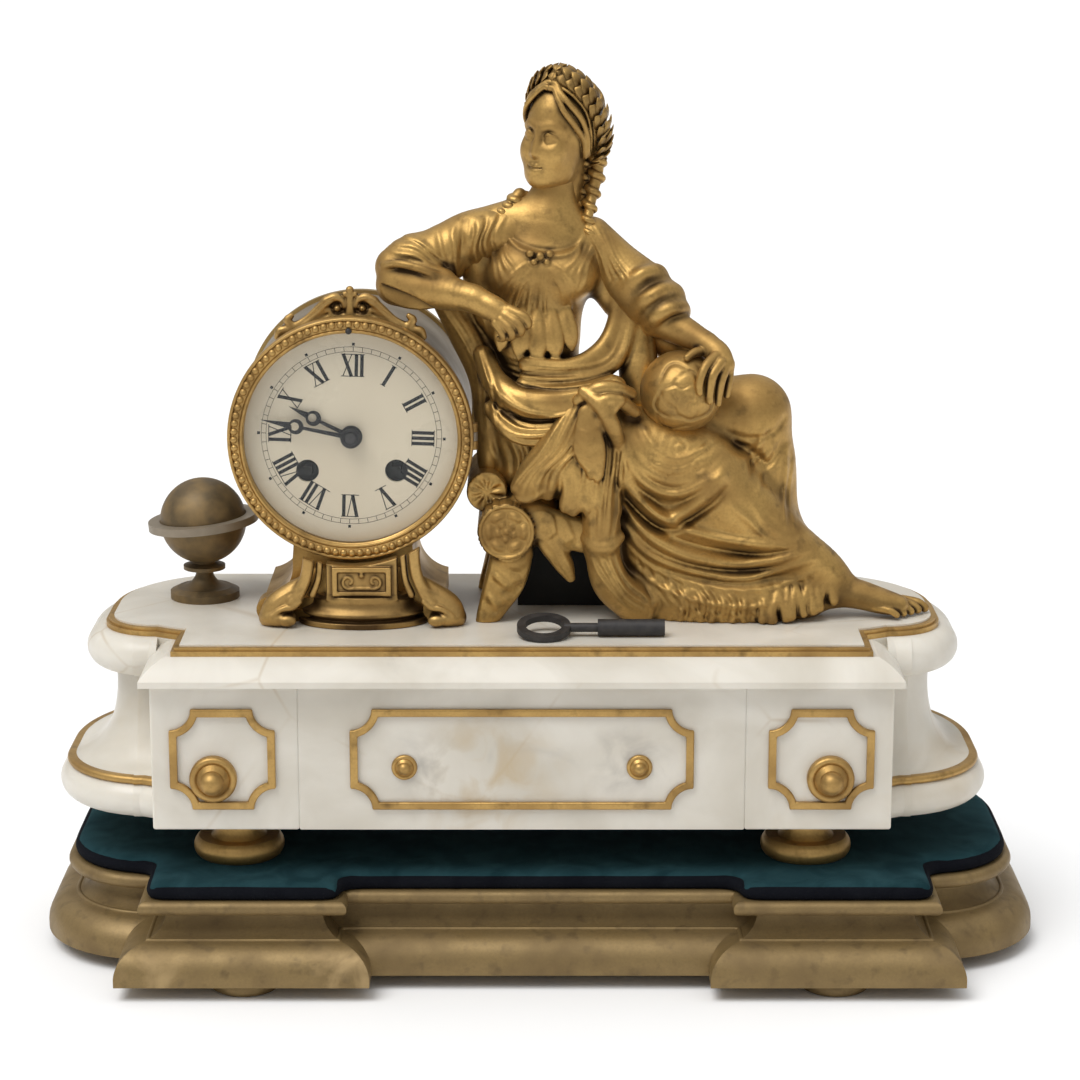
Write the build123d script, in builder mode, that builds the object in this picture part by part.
"""Figural clock with a seated woman, on an alabaster base and a velvet-topped giltwood stand. Millimetres."""

import os
from math import atan2, cos, degrees, radians, sin, sqrt

from build123d import *

os.makedirs("parts", exist_ok=True)

# Stand: outline of the bottom edge, measured from the middle of the stand
stand_half_length = 201.0
stand_front = 50.0
stand_back = 80.0
end_radius = 46.0
block_inner = 66.0
block_outer = 165.0
block_front = 80.0
middle_front = 67.0

# Stand: moulding, from the floor up
bun_height = 6.0
bun_radius = 14.0
bun_margin = 4.0
ovolo_height = 14.6
ovolo_inset = 10.5
cove_height = 11.0
cove_depth = 8.5
torus_height = 5.6
torus_inset = 9.0
pad_height = 6.8
pad_inset = 12.6
pad_round = 2.0
edging_thick = 1.2
edging_drop = 1.6

# Clock base
clock_x = -7.0
base_half = 143.5
panel_half = 86.5
base_front = 58.0
base_back = 60.0
slab_depth = 22.0
back_depth = 12.0
foot_height = 19.0
foot_radius = 18.0
foot_inset = 30.5
foot_y = 30.0
spigot_radius = 3.0
spigot_length = 30.0
wall_height = 59.0
cap_height = 14.0
cap_overhang = 6.8
cap_edge = 2.5
cap_slope = 9.5

# Lobed ends of the base: plan of the neck, then the moulding
lobe_offset = 1.5
lobe_front_y = -4.0
lobe_front_radius = 18.0
lobe_back_y = 15.0
lobe_back_radius = 45.0
flange_reach = 20.0
flange_bulge = 4.0
flange_height = 13.0
scotia_height = 30.0
neck_height = 7.0
collar_reach = 11.5
collar_seat = 4.5

# Gilt strips
strip_width = 3.2
strip_height = 3.2
strip_seat = 0.5
strip_round = 1.2
slab_inset = 11.5
slab_front = 52.0
ogee_radius = 20.0
strip_joint = 0.3

# Frames and bosses on the front
frame_width = 3.0
frame_depth = 2.0
frame_height = 40.5
frame_low = 8.6
side_frame_margin = 8.0
side_frame_shift = 0.8
centre_frame_margin = 20.0
frame_notch = 8.5
large_boss_radius = 9.2
large_boss_reach = 11.0
large_boss_shift = 3.7
large_boss_low = 21.0
small_boss_radius = 5.0
small_boss_reach = 4.5
small_boss_x = 45.5
small_boss_low = 25.5

# Tie rods that hold the castings to the base
rod_radius = 2.5
rod_grip = 9.0
rod_clear = 0.4
thread_clear = 0.05
nut_radius = 5.5
nut_height = 4.0
nut_recess = 9.0

# Drum
drum_x = -67.0
drum_rise = 74.0
drum_radius = 46.0
drum_wall = 1.4
drum_front = 13.0
drum_back = 54.0
drum_clear = 0.5
bezel_radius = 48.0
bezel_sight = 41.8
bezel_depth = 7.3
bezel_gap = 0.2
glass_radius = 43.3
glass_thick = 1.2
glass_dome = 3.6
glass_fit = 0.1
knuckle_radius = 1.6
knuckle_length = 3.4
hinge_pin = 0.7
hinge_clear = 0.4
pin_clear = 0.05

# Dial and hands
dial_fit = 0.6
dial_thick = 1.5
dial_sunk = 0.5
winder_x = 17.5
winder_drop = 14.0
winder_hole = 4.5
hour_length = 27.0
hour_moon = 14.0
minute_length = 36.0
minute_moon = 19.5
hand_thick = 0.6
hand_gap = 1.4
minute_angle = 281.6
hour_angle = 296.5

# Movement
plate_radius = 38.0
plate_thick = 2.0
plate_gap = 23.0
motion_room = 8.0
pivot_clear = 0.08
arbor_radius = 1.0
winder_radius = 2.0
winder_square = 3.4
pillar_radius = 2.0
centre_arbor = 1.2
cannon_radius = 1.9
hour_pipe = 2.8
wheel_thick = 1.3

great_teeth = 68
great_module = 0.5
great_pinion = 12
cannon_teeth = 12
minute_teeth = 36
minute_module = 0.5
minute_pinion = 10
hour_teeth = 40
hour_module = 0.48
second_teeth = 62
second_module = 0.45
centre_pinion = 14
centre_teeth = 60
third_pinion = 10
third_angle = 128.0
third_teeth = 54
third_module = 0.4
escape_pinion = 10
escape_teeth = 30
escape_radius = 8.5
anchor_rise = 12.5
arbor_hole = 0.5
pallet_clear = 0.8
strike_angle = 110.0
strike_radius = 7.5
ratchet_teeth = 24
ratchet_radius = 6.5
click_clear = 0.4

bell_x = 10.0
bell_drop = 4.0
bell_radius = 26.0
bell_depth = 13.0
bell_wall = 1.3
bell_post = 2.0
hammer_x = -27.0
hammer_drop = 17.0
hammer_head = 2.5
hammer_gap = 0.5
fly_x = -20.5
fly_rise = 20.5
fly_half = 4.0

# Pendulum
pendulum_length = 80.0
pendulum_rod_radius = 1.0
rod_tail = 4.0
pendulum_gap = 7.0
bob_radius = 11.0
bob_thick = 7.0
pendulum_swing = 4.0
swing_room = 2.0

# Figure, stool and globes, placed from the top of the base
lap_globe_radius = 16.2
stool_roll = 13.5
figure_clear = 0.4
celestial_x = -130.0
celestial_y = 22.0
celestial_radius = 17.5
celestial_foot = 14.0
celestial_rise = 32.0
celestial_ring = 22.3
celestial_tilt = 5.4
ring_clear = 0.15

# Winding key, lying on the base
key_x = -2.0
key_y = -40.0
key_length = 57.5
key_bow = 21.0
key_wire = 2.5
key_shank = 1.8
key_barrel = 3.3
key_barrel_length = 26.0
key_socket = 3.6
key_clear = 0.3

# Levels
step_z = bun_height + ovolo_height
stand_neck_z = step_z + cove_height
stand_top = stand_neck_z + torus_height
pad_top = stand_top + pad_height
base_bottom = pad_top + foot_height
cap_bottom = base_bottom + wall_height
base_top = cap_bottom + cap_height
seat_z = base_top - strip_height - 0.8
drum_z = base_top + drum_rise

block_mid = (block_inner + block_outer) / 2
block_half = (block_outer - block_inner) / 2
corner_x = stand_half_length - end_radius

# Places along the base, from its middle
foot_x = base_half - foot_inset
lobe_x = base_half + lobe_offset
slab_corner_x = base_half - slab_inset
side_frame_width = base_half - panel_half - 2 * side_frame_margin
side_frame_x = (base_half + panel_half) / 2 + side_frame_shift
centre_frame_width = 2 * (panel_half - centre_frame_margin)
large_boss_x = side_frame_x + large_boss_shift

# Drum: depths along y, front face negative
case_back_ring = drum_back + 4.0
dial_front = -drum_front + dial_sunk
dial_back = dial_front + dial_thick
plate_front = dial_back + motion_room
plate_inside = plate_front + plate_thick
back_plate_front = plate_inside + plate_gap
back_plate_back = back_plate_front + plate_thick
drum_inside = drum_radius - drum_wall
bezel_back = -drum_front - bezel_gap
bezel_front = bezel_back - bezel_depth
glass_back = bezel_back - 3.6
glass_front = glass_back - glass_thick
pendulum_y = back_plate_back + pendulum_gap
hinge_reach = drum_radius + hinge_clear + knuckle_radius
front_hinge_y = -drum_front
rear_hinge_y = case_back_ring
bob_room = bob_radius + pendulum_length * sin(radians(pendulum_swing)) + swing_room

# Escapement and pendulum, from the centre of the drum
third_reach = (centre_teeth + third_pinion) * second_module / 2
third_spot = (third_reach * cos(radians(third_angle)), third_reach * sin(radians(third_angle)))
escape_reach = (third_teeth + escape_pinion) * third_module / 2
escape_spot = (0.0, third_spot[1] + sqrt(escape_reach**2 - third_spot[0] ** 2))
anchor_spot = (0.0, escape_spot[1] + anchor_rise)
pendulum_top = drum_z + anchor_spot[1]
bob_z = pendulum_top - pendulum_length
rod_low = bob_z - bob_radius - rod_tail


def upright(origin, out):
    """Plane whose local x runs outward along out and whose local y is up."""
    return Plane(origin=origin, x_dir=out, z_dir=(out[1], -out[0], 0))


def facing(y, x=0.0, z=0.0):
    """Plane seen from the front at depth y: local x right, local y up, normal to the viewer."""
    return Plane(origin=(clock_x + x, y, z), x_dir=(1, 0, 0), z_dir=(0, -1, 0))


def level(z, x=0.0, y=0.0):
    """Horizontal plane in the clock's own place on the stand."""
    return Plane((clock_x + x, y, z))


def spot(x, y, rise):
    """Point above the top of the base."""
    return (clock_x + x, y, base_top + rise)


def work(y, centre=(0.0, 0.0)):
    """Plane seen from the front, centred on a point of the drum face."""
    return facing(y, drum_x + centre[0], drum_z + centre[1])


def cap_mid(rim, rise):
    """Middle of a round cap's outline: distance from the axis, and drop from the top."""
    ball = (rim**2 + rise**2) / (2 * rise)
    turn = atan2(rim, ball - rise) / 2
    return (ball * sin(turn), ball * (1 - cos(turn)))


def stand_section(plane, reach):
    """Half section of the stand moulding, from the plane's origin out to reach."""
    foot_edge = bun_height + 2.0
    torus_edge = reach - torus_inset - torus_height / 2
    neck_edge = reach - ovolo_inset - cove_depth
    with BuildSketch(plane) as drawn:
        with BuildLine():
            Polyline((0, stand_top), (0, bun_height), (reach, bun_height), (reach, foot_edge))
            ThreePointArc(
                (reach, foot_edge),
                (reach - 0.3 * ovolo_inset, foot_edge + 0.7 * (step_z - foot_edge)),
                (reach - ovolo_inset, step_z),
            )
            ThreePointArc(
                (reach - ovolo_inset, step_z),
                (reach - ovolo_inset - 0.7 * cove_depth, step_z + 0.3 * cove_height),
                (neck_edge, stand_neck_z),
            )
            Line((neck_edge, stand_neck_z), (torus_edge, stand_neck_z))
            ThreePointArc(
                (torus_edge, stand_neck_z),
                (reach - torus_inset, stand_neck_z + torus_height / 2),
                (torus_edge, stand_top),
            )
            Line((torus_edge, stand_top), (0, stand_top))
        make_face()
    return drawn.sketch


def slab(x_from, x_to, y_from, y_to, z_from, height):
    """Upright rectangular slab in the clock's own place."""
    with BuildPart() as made:
        with BuildSketch(level(z_from, (x_from + x_to) / 2, (y_from + y_to) / 2)):
            Rectangle(x_to - x_from, y_to - y_from)
        extrude(amount=height)
    return made.part


with BuildPart() as block_returns:
    for side in (1, -1):
        return_plane = upright((block_mid, 0, 0), (side, 0, 0))
        extrude(stand_section(return_plane, block_half), amount=block_front, both=True)

with BuildPart() as stand_block:
    extrude(stand_section(upright((block_mid, 0, 0), (0, -1, 0)), block_front), amount=block_half, both=True)
    add(block_returns.part, mode=Mode.INTERSECT)

with BuildPart() as stand_carcass:
    extrude(stand_section(upright((0, 0, 0), (0, -1, 0)), stand_front), amount=corner_x, both=True)
    extrude(stand_section(upright((0, 0, 0), (0, 1, 0)), stand_back), amount=corner_x, both=True)
    for side in (1, -1):
        front_y = end_radius - stand_front
        back_y = stand_back - end_radius
        end_plane = upright((side * corner_x, (front_y + back_y) / 2, 0), (side, 0, 0))
        extrude(stand_section(end_plane, end_radius), amount=(back_y - front_y) / 2, both=True)
        for y in (front_y, back_y):
            end_profile = stand_section(upright((side * corner_x, y, 0), (side, 0, 0)), end_radius)
            revolve(end_profile, axis=Axis((side * corner_x, y, 0), (0, 0, 1)))
    extrude(stand_section(upright((0, 0, 0), (0, -1, 0)), middle_front), amount=block_mid, both=True)
    add(stand_block.part)
    mirror(stand_block.part, about=Plane.YZ)
stand_carcass.part.label = "stand_carcass"
export_step(stand_carcass.part, "parts/stand_carcass.step")

with BuildPart() as stand_feet:
    for y in (bun_radius + bun_margin - block_front, stand_back - bun_radius - bun_margin):
        with BuildSketch(Plane((0, y, 0))):
            with Locations((block_mid, 0), (-block_mid, 0)):
                Circle(bun_radius)
        extrude(amount=bun_height)
    fillet(stand_feet.edges().filter_by(GeomType.CIRCLE), bun_height * 0.4)
stand_feet.part.label = "stand_feet"
export_step(stand_feet.part, "parts/stand_feet.step")


def pad_outline(inset):
    """Outline of the velvet, drawn in from the bottom edge of the stand."""
    with BuildSketch(Plane((0, 0, stand_top))) as drawn:
        with Locations((0, (stand_back - stand_front) / 2)):
            RectangleRounded(
                2 * (stand_half_length - inset), stand_front + stand_back - 2 * inset, end_radius - inset
            )
        with Locations((0, (inset - middle_front) / 2)):
            Rectangle(2 * block_mid, middle_front - inset)
        for side in (1, -1):
            with Locations((side * block_mid, (inset - block_front) / 2)):
                Rectangle(2 * (block_half - inset), block_front - inset)
    return drawn.sketch


with BuildPart() as velvet_pad:
    extrude(pad_outline(pad_inset), amount=pad_height)
    fillet(velvet_pad.faces().sort_by(Axis.Z)[-1].edges(), pad_round)
velvet_pad.part.label = "velvet_pad"
export_step(velvet_pad.part, "parts/velvet_pad.step")

with BuildPart() as velvet_edging:
    extrude(pad_outline(pad_inset - edging_thick), amount=pad_height - pad_round - edging_drop)
    extrude(pad_outline(pad_inset), amount=pad_height, mode=Mode.SUBTRACT)
velvet_edging.part.label = "velvet_edging"
export_step(velvet_edging.part, "parts/velvet_edging.step")


rod_spots = ((drum_x, 4.0), (4.0, 16.0), (78.0, 12.0), (celestial_x, celestial_y))

with BuildPart() as tie_rods:
    for x, y in rod_spots:
        with BuildSketch(level(base_bottom + nut_recess - nut_height, x, y)):
            RegularPolygon(nut_radius, 6)
        extrude(amount=nut_height)
        with BuildSketch(level(base_bottom + nut_recess - nut_height, x, y)):
            Circle(rod_radius)
        extrude(amount=base_top + rod_grip - base_bottom - nut_recess + nut_height)
tie_rods.part.label = "tie_rods"
export_step(tie_rods.part, "parts/tie_rods.step")

with BuildPart() as rod_threads:
    for x, y in rod_spots:
        with BuildSketch(level(base_top, x, y)):
            Circle(rod_radius + thread_clear)
        extrude(amount=rod_grip + thread_clear)

pendulum_slot = slab(
    drum_x - bob_room,
    drum_x + bob_room,
    pendulum_y - bob_thick,
    pendulum_y + bob_thick,
    rod_low - swing_room,
    drum_z - rod_low + swing_room,
)

with BuildPart() as base_core:
    with BuildSketch(level(base_bottom, 0, (slab_depth - base_front + base_back - back_depth) / 2)):
        Rectangle(2 * base_half, base_front + base_back - slab_depth - back_depth)
    extrude(amount=wall_height)
    for x, y in rod_spots:
        with BuildSketch(level(base_bottom, x, y)):
            Circle(rod_radius + rod_clear)
        extrude(amount=wall_height, mode=Mode.SUBTRACT)
        with BuildSketch(level(base_bottom, x, y)):
            Circle(nut_radius + 2.5)
        extrude(amount=nut_recess, mode=Mode.SUBTRACT)
    with BuildSketch(level(base_bottom)):
        with GridLocations(2 * foot_x, 2 * foot_y, 2, 2):
            Circle(spigot_radius + thread_clear)
    extrude(amount=spigot_length + thread_clear, mode=Mode.SUBTRACT)
    add(pendulum_slot, mode=Mode.SUBTRACT)
base_core.part.label = "base_core"
export_step(base_core.part, "parts/base_core.step")

with BuildPart() as turned_foot:
    tread = foot_height * 0.42
    with BuildSketch(upright((clock_x, 0, 0), (1, 0, 0))):
        with BuildLine():
            Polyline((0, base_bottom), (0, pad_top), (foot_radius - 2, pad_top))
            ThreePointArc(
                (foot_radius - 2, pad_top),
                (foot_radius, pad_top + tread / 2),
                (foot_radius - 2, pad_top + tread),
            )
            Line((foot_radius - 2, pad_top + tread), (foot_radius * 0.62, pad_top + tread))
            ThreePointArc(
                (foot_radius * 0.62, pad_top + tread),
                (foot_radius * 0.48, pad_top + foot_height * 0.7),
                (foot_radius * 0.75, base_bottom),
            )
            Line((foot_radius * 0.75, base_bottom), (0, base_bottom))
        make_face()
    revolve(axis=Axis((clock_x, 0, 0), (0, 0, 1)))
    with BuildSketch(level(base_bottom)):
        Circle(spigot_radius)
    extrude(amount=spigot_length)

with BuildPart() as base_feet:
    for x in (foot_x, -foot_x):
        for y in (foot_y, -foot_y):
            add(Pos(x, y, 0) * turned_foot.part)
base_feet.part.label = "base_feet"
export_step(base_feet.part, "parts/base_feet.step")


face_back = slab_depth - base_front

with BuildPart() as front_panel:
    add(slab(-panel_half, panel_half, -base_front, face_back, base_bottom, wall_height))
front_panel.part.label = "front_panel"
export_step(front_panel.part, "parts/front_panel.step")

with BuildPart() as front_blocks:
    add(slab(-base_half, -panel_half, -base_front, face_back, base_bottom, wall_height))
    add(slab(panel_half, base_half, -base_front, face_back, base_bottom, wall_height))
front_blocks.part.label = "front_blocks"
export_step(front_blocks.part, "parts/front_blocks.step")

with BuildPart() as back_panel:
    add(slab(-base_half, base_half, base_back - back_depth, base_back, base_bottom, wall_height))
back_panel.part.label = "back_panel"
export_step(back_panel.part, "parts/back_panel.step")


lobe_back_x = lobe_x + lobe_front_radius - lobe_back_radius
flange_top = base_bottom + flange_height
lower_strip_top = flange_top + strip_height
scotia_top = lower_strip_top + scotia_height
collar_bottom = scotia_top + neck_height


def end_section(plane, reach):
    """Section of a lobed end, from the plane's origin out past the neck at reach."""
    bulge = reach + flange_reach + flange_bulge
    ledge = reach + flange_reach - 2.5
    with BuildSketch(plane) as drawn:
        with BuildLine():
            Polyline((0, seat_z), (0, base_bottom), (reach + flange_reach, base_bottom))
            ThreePointArc(
                (reach + flange_reach, base_bottom),
                (bulge, base_bottom + flange_height / 2),
                (reach + flange_reach, flange_top),
            )
            Polyline((reach + flange_reach, flange_top), (ledge, flange_top), (ledge, lower_strip_top))
            EllipticalCenterArc((ledge, scotia_top), ledge - reach, scotia_height, 180, arc_size=90)
            Polyline((reach, scotia_top), (reach, collar_bottom), (reach + 1.5, collar_bottom))
            ThreePointArc(
                (reach + 1.5, collar_bottom),
                (reach + collar_reach, collar_bottom + 0.55 * (seat_z - collar_bottom)),
                (reach + collar_seat, seat_z),
            )
            Line((reach + collar_seat, seat_z), (0, seat_z))
        make_face()
    return drawn.sketch


def strip_section(plane, reach):
    """Half-round strip lying on the ledge of a lobed end."""
    ledge = reach + flange_reach - 2.5
    with BuildSketch(plane) as drawn:
        with BuildLine():
            Polyline(
                (ledge + 2, flange_top),
                (ledge, flange_top),
                (ledge, lower_strip_top),
                (ledge + 2, lower_strip_top),
            )
            ThreePointArc(
                (ledge + 2, lower_strip_top),
                (ledge + 3.6, flange_top + strip_height / 2),
                (ledge + 2, flange_top),
            )
        make_face()
    return drawn.sketch


def lobe(section):
    """Left lobed form round the neck line, trimmed by the block side and the back."""
    axis_x = clock_x - lobe_x
    back_x = clock_x - lobe_back_x
    with BuildPart() as made:
        revolve(
            section(upright((axis_x, lobe_front_y, 0), (-1, 0, 0)), lobe_front_radius),
            axis=Axis((axis_x, lobe_front_y, 0), (0, 0, 1)),
        )
        neck_plane = upright((axis_x, lobe_front_y, 0), (0, -1, 0))
        extrude(section(neck_plane, lobe_front_radius), amount=8, both=True)
        mid_y = (lobe_front_y + lobe_back_y) / 2
        extrude(
            section(upright((back_x, mid_y, 0), (-1, 0, 0)), lobe_back_radius),
            amount=(lobe_back_y - lobe_front_y) / 2,
            both=True,
        )
        revolve(
            section(upright((back_x, lobe_back_y, 0), (-1, 0, 0)), lobe_back_radius),
            axis=Axis((back_x, lobe_back_y, 0), (0, 0, 1)),
        )
        add(slab(-base_half, base_half + 200, -200, 200, base_bottom - 1, 200), mode=Mode.SUBTRACT)
        add(slab(-400, 400, base_back, base_back + 200, base_bottom - 1, 200), mode=Mode.SUBTRACT)
    return made.part


left_end = lobe(end_section)

with BuildPart() as base_ends:
    add(left_end)
    mirror(left_end, about=Plane((clock_x, 0, 0), x_dir=(0, 1, 0), z_dir=(1, 0, 0)))
base_ends.part.label = "base_ends"
export_step(base_ends.part, "parts/base_ends.step")


def top_outline(z, grow):
    """Plan of the top of the base, grown by the given amount, with an ogee from each lobe to the slab."""
    with BuildSketch(level(z)) as drawn:
        with Locations((0, (base_back - slab_front - grow) / 2)):
            Rectangle(2 * (slab_corner_x + grow), base_back + slab_front + grow)
        for side in (1, -1):
            with Locations((side * lobe_x, lobe_front_y)):
                Circle(lobe_front_radius + strip_seat + grow)
            with Locations((side * lobe_back_x, lobe_back_y)):
                Circle(lobe_back_radius + strip_seat + grow)
            reach = lobe_x + lobe_front_radius + strip_seat + grow
            with Locations((side * reach / 2, (lobe_front_y + lobe_back_y) / 2)):
                Rectangle(reach, lobe_back_y - lobe_front_y)
        corner = slab_corner_x + grow
        on_side = [v for v in drawn.vertices() if abs(abs(v.X - clock_x) - corner) < 0.01]
        fillet([v for v in on_side if -slab_front < v.Y < lobe_front_y], ogee_radius - grow)
        with Locations((0, base_back - 200)):
            Rectangle(600, 400, mode=Mode.INTERSECT)
    return drawn.sketch


def cap_section(plane, reach):
    """Half section of the moulded edge of the cap."""
    with BuildSketch(plane) as drawn:
        with BuildLine():
            Polyline((0, seat_z), (0, cap_bottom), (reach, cap_bottom), (reach, cap_bottom + cap_edge))
            ThreePointArc(
                (reach, cap_bottom + cap_edge),
                (reach - 0.45 * cap_slope, cap_bottom + cap_edge + 0.6 * (seat_z - cap_bottom - cap_edge)),
                (reach - cap_slope, seat_z),
            )
            Line((reach - cap_slope, seat_z), (0, seat_z))
        make_face()
    return drawn.sketch


with BuildPart() as cap_returns:
    for side in (1, -1):
        cap_side = upright((clock_x, 0, 0), (side, 0, 0))
        extrude(cap_section(cap_side, base_half + cap_overhang / 2), amount=base_front + 20, both=True)

with BuildPart() as ogee_corners:
    for side in (1, -1):
        near, far = sorted((side * slab_corner_x, side * base_half))
        add(slab(near, far, -slab_front, lobe_front_y, cap_bottom, seat_z - cap_bottom))

with BuildPart() as cap_webs:
    extrude(top_outline(cap_bottom, collar_seat - strip_seat), amount=seat_z - cap_bottom)
    add(ogee_corners.part, mode=Mode.INTERSECT)

with BuildPart() as base_cap:
    cap_front = upright((clock_x, 0, 0), (0, -1, 0))
    extrude(cap_section(cap_front, base_front + cap_overhang), amount=base_half + 20, both=True)
    add(slab(-base_half, base_half, -1, base_back, cap_bottom, seat_z - cap_bottom))
    add(cap_returns.part, mode=Mode.INTERSECT)
    extrude(top_outline(seat_z, 0), amount=base_top - seat_z)
    add(cap_webs.part)
    add(base_ends.part, mode=Mode.SUBTRACT)
    for x, y in rod_spots:
        with BuildSketch(level(cap_bottom - 1, x, y)):
            Circle(rod_radius + rod_clear)
        extrude(amount=cap_height + 2, mode=Mode.SUBTRACT)
    add(pendulum_slot, mode=Mode.SUBTRACT)
base_cap.part.label = "base_cap"
export_step(base_cap.part, "parts/base_cap.step")

lower_left = lobe(strip_section)
with BuildPart() as lower_strip:
    add(lower_left)
    add(left_end, mode=Mode.SUBTRACT)

with BuildPart() as gilt_strips:
    extrude(top_outline(seat_z, strip_width), amount=strip_height - strip_round)
    extrude(top_outline(seat_z, strip_width - strip_round), amount=strip_height)
    extrude(top_outline(seat_z, 0), amount=strip_height, mode=Mode.SUBTRACT)
    for side in (1, -1):
        joint_x = side * slab_corner_x
        add(
            slab(
                joint_x - 6, joint_x + 6, -slab_front, strip_joint - slab_front, seat_z - 1, strip_height + 2
            ),
            mode=Mode.SUBTRACT,
        )
    add(lower_strip.part)
    mirror(lower_strip.part, about=Plane((clock_x, 0, 0), x_dir=(0, 1, 0), z_dir=(1, 0, 0)))
gilt_strips.part.label = "gilt_strips"
export_step(gilt_strips.part, "parts/gilt_strips.step")


def frame_outline(x, width, shrink):
    """Rectangle with hollow quarter-round corners, standing on the front face."""
    with BuildSketch(facing(-base_front, x, base_bottom + frame_low + frame_height / 2)) as drawn:
        Rectangle(width - 2 * shrink, frame_height - 2 * shrink)
        with GridLocations(width, frame_height, 2, 2):
            Circle(frame_notch + shrink, mode=Mode.SUBTRACT)
    return drawn.sketch


with BuildPart() as panel_frames:
    side_frames = ((-side_frame_x, side_frame_width), (side_frame_x, side_frame_width))
    for x, width in ((0, centre_frame_width), *side_frames):
        extrude(frame_outline(x, width, 0), amount=frame_depth)
        extrude(frame_outline(x, width, frame_width), amount=frame_depth, mode=Mode.SUBTRACT)
panel_frames.part.label = "panel_frames"
export_step(panel_frames.part, "parts/panel_frames.step")


def boss(x, low, radius, reach):
    """Turned boss standing on the front face."""
    centre = (clock_x + x, -base_front, base_bottom + low)
    with BuildPart() as made:
        with BuildSketch(Plane(origin=centre, x_dir=(1, 0, 0), z_dir=(0, 0, 1))):
            with BuildLine():
                Polyline((0, -reach), (0, 0), (radius, 0), (radius, -0.15 * reach))
                ThreePointArc(
                    (radius, -0.15 * reach), (0.88 * radius, -0.32 * reach), (0.7 * radius, -0.28 * reach)
                )
                Line((0.7 * radius, -0.28 * reach), (0.5 * radius, -0.5 * reach))
                knob = cap_mid(0.5 * radius, 0.5 * reach)
                ThreePointArc((0.5 * radius, -0.5 * reach), (knob[0], knob[1] - reach), (0, -reach))
            make_face()
        revolve(axis=Axis(centre, (0, 1, 0)))
    return made.part


with BuildPart() as panel_bosses:
    for side in (1, -1):
        add(boss(side * large_boss_x, large_boss_low, large_boss_radius, large_boss_reach))
        add(boss(side * small_boss_x, small_boss_low, small_boss_radius, small_boss_reach))
panel_bosses.part.label = "panel_bosses"
export_step(panel_bosses.part, "parts/panel_bosses.step")


def round_bar(centre, radius, y_from, y_to):
    """Round bar along y between two depths, centred on a point of the drum face."""
    with BuildPart() as made:
        with BuildSketch(work(y_to)):
            with Locations(centre):
                Circle(radius)
        extrude(amount=y_to - y_from)
    return made.part


def upright_bar(x, y, radius, z_from, z_to):
    """Round bar standing at a place of the clock between two heights."""
    with BuildPart() as made:
        with BuildSketch(level(z_from, x, y)):
            Circle(radius)
        extrude(amount=z_to - z_from)
    return made.part


front_hinge_x = drum_x + hinge_reach
rear_hinge_x = drum_x - hinge_reach
knuckle_gap = 0.15

drum_body = round_bar((0, 0), drum_radius, -drum_front, drum_back)
with BuildPart() as drum_case:
    add(drum_body)
    add(round_bar((0, 0), drum_inside, -drum_front - 1, drum_back + 1), mode=Mode.SUBTRACT)
    add(pendulum_slot, mode=Mode.SUBTRACT)
    knuckle_low = drum_z - knuckle_length / 2
    add(upright_bar(front_hinge_x, front_hinge_y, knuckle_radius, knuckle_low, knuckle_low + knuckle_length))
    leaf = front_hinge_y + knuckle_radius * 0.4
    add(slab(drum_x + drum_radius - 0.7, front_hinge_x, leaf, leaf + 7, knuckle_low, knuckle_length))
    front_bore = upright_bar(
        front_hinge_x, front_hinge_y, hinge_pin + pin_clear, knuckle_low - 1, drum_z + knuckle_length
    )
    add(front_bore, mode=Mode.SUBTRACT)
drum_case.part.label = "drum_case"
export_step(drum_case.part, "parts/drum_case.step")


def door_knuckles(x, y):
    """Outer knuckles of a door hinge with the pin through them."""
    half = knuckle_length / 2 + knuckle_gap
    with BuildPart() as made:
        add(upright_bar(x, y, knuckle_radius, drum_z + half, drum_z + half + knuckle_length))
        add(upright_bar(x, y, knuckle_radius, drum_z - half - knuckle_length, drum_z - half))
        add(upright_bar(x, y, hinge_pin, drum_z - half - knuckle_length, drum_z + half + knuckle_length))
    return made.part


def knuckle_room(x, y):
    """Room round the fixed knuckle that a door leaves free."""
    half = knuckle_length / 2 + knuckle_gap
    return upright_bar(x, y, knuckle_radius + hinge_clear, drum_z - half, drum_z + half)


def turned(points, arcs=()):
    """Ring turned about the drum axis from (radius, y) points; arcs are middles of curved sides."""
    with BuildPart() as made:
        with BuildSketch(Plane(origin=(clock_x + drum_x, 0, drum_z), x_dir=(1, 0, 0), z_dir=(0, 0, 1))):
            with BuildLine():
                for i, start in enumerate(points):
                    end = points[(i + 1) % len(points)]
                    if i in dict(arcs):
                        ThreePointArc(start, dict(arcs)[i], end)
                    else:
                        Line(start, end)
            make_face()
        revolve(axis=Axis((clock_x + drum_x, 0, drum_z), (0, 1, 0)))
    return made.part


with BuildPart() as bezel_ring:
    lip = bezel_sight + 1.9
    add(
        turned(
            (
                (glass_radius + glass_fit, bezel_back),
                (bezel_radius, bezel_back),
                (bezel_radius, bezel_back - 0.4 * bezel_depth),
                (bezel_radius - 2.6, bezel_front),
                (lip, bezel_front),
                (bezel_sight, glass_front - 0.8),
                (bezel_sight, glass_front),
                (glass_radius + glass_fit, glass_front),
            ),
            ((2, (bezel_radius - 0.5, bezel_back - 0.8 * bezel_depth)),),
        )
    )
    add(knuckle_room(front_hinge_x, front_hinge_y), mode=Mode.SUBTRACT)
    add(door_knuckles(front_hinge_x, front_hinge_y))
bezel_ring.part.label = "bezel_ring"
export_step(bezel_ring.part, "parts/bezel_ring.step")

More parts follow.
